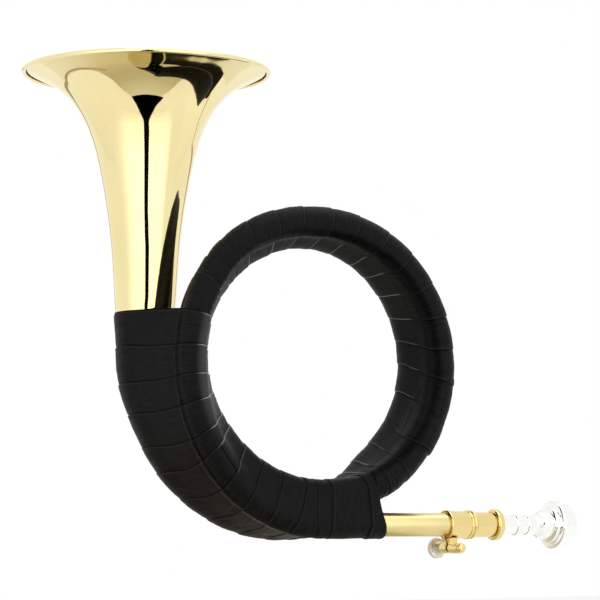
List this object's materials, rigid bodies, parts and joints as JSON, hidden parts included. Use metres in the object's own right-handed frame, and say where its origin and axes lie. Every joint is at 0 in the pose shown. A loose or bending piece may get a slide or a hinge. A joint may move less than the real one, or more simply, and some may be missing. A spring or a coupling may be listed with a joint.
{
  "type": "hunting horn",
  "caption": "Round coiled brass hunting horn with an upright flared bell, leather-wrapped coil, clamped tuning slide and silvered cup mouthpiece.",
  "frame": {"origin": "the inner top of the leather-wrapped coil, where a hand or a peg holds the horn up, on the wrap over the rear of the two tubes there", "axes": "+X along the leadpipe towards the mouthpiece; +Z the way the bell's mouth faces; +Y away from the player's side with the leadpipe, towards the bell's tube"},
  "size_m": [0.2938, 0.126, 0.2465],
  "materials": {
    "lacquered_brass": "mirror polished under clear lacquer, pale yellow",
    "gold_brass": "polished gold brass, a little redder than the bell",
    "bare_brass": "unlacquered, drawn and soldered",
    "nickel": "nickel plated brass",
    "silver_plate": "silver plated brass, mirror polished",
    "black_leather": "black satin leather strip, about 1 mm thick, fine grain"
  },
  "bodies": {
    "horn": {"bell": "lacquered_brass", "leadpipe": "lacquered_brass", "first_bow": "bare_brass", "second_bow": "bare_brass", "third_bow": "bare_brass", "bell_bow": "bare_brass", "leadpipe_ferrule": "bare_brass", "first_ferrule": "bare_brass", "second_ferrule": "bare_brass", "third_ferrule": "bare_brass", "bell_ferrule": "bare_brass", "stay_lower_left": "bare_brass", "stay_upper_left": "bare_brass", "stay_upper_right": "bare_brass", "stay_lower_right": "bare_brass", "stay_bell": "bare_brass", "rim_wire": "bare_brass", "bell_wrap": "black_leather", "lower_wrap": "black_leather", "upper_ring_wrap": "black_leather", "right_ring_wrap": "black_leather"},
    "tuning_slide": {"tuning_sleeve": "gold_brass", "clamp_collar": "gold_brass", "receiver": "gold_brass"},
    "clamp_screw": {"clamp_screw": "nickel"},
    "mouthpiece": {"mouthpiece": "silver_plate"}
  },
  "joints": [
    {"name": "tuning_slide", "type": "slide", "parent": "horn", "child": "tuning_slide", "axis": [1, 0, 0], "range_m": [-0.005, 0.01]},
    {"name": "clamp_screw", "type": "hinge", "parent": "tuning_slide", "child": "clamp_screw", "pos_m": [0.0768, -0.0155, -0.1529], "axis": [0, 1, 0], "range_deg": [0, 360]},
    {"name": "mouthpiece", "type": "slide", "parent": "tuning_slide", "child": "mouthpiece", "axis": [1, 0, 0], "range_m": [0, 0.028]}
  ]
}
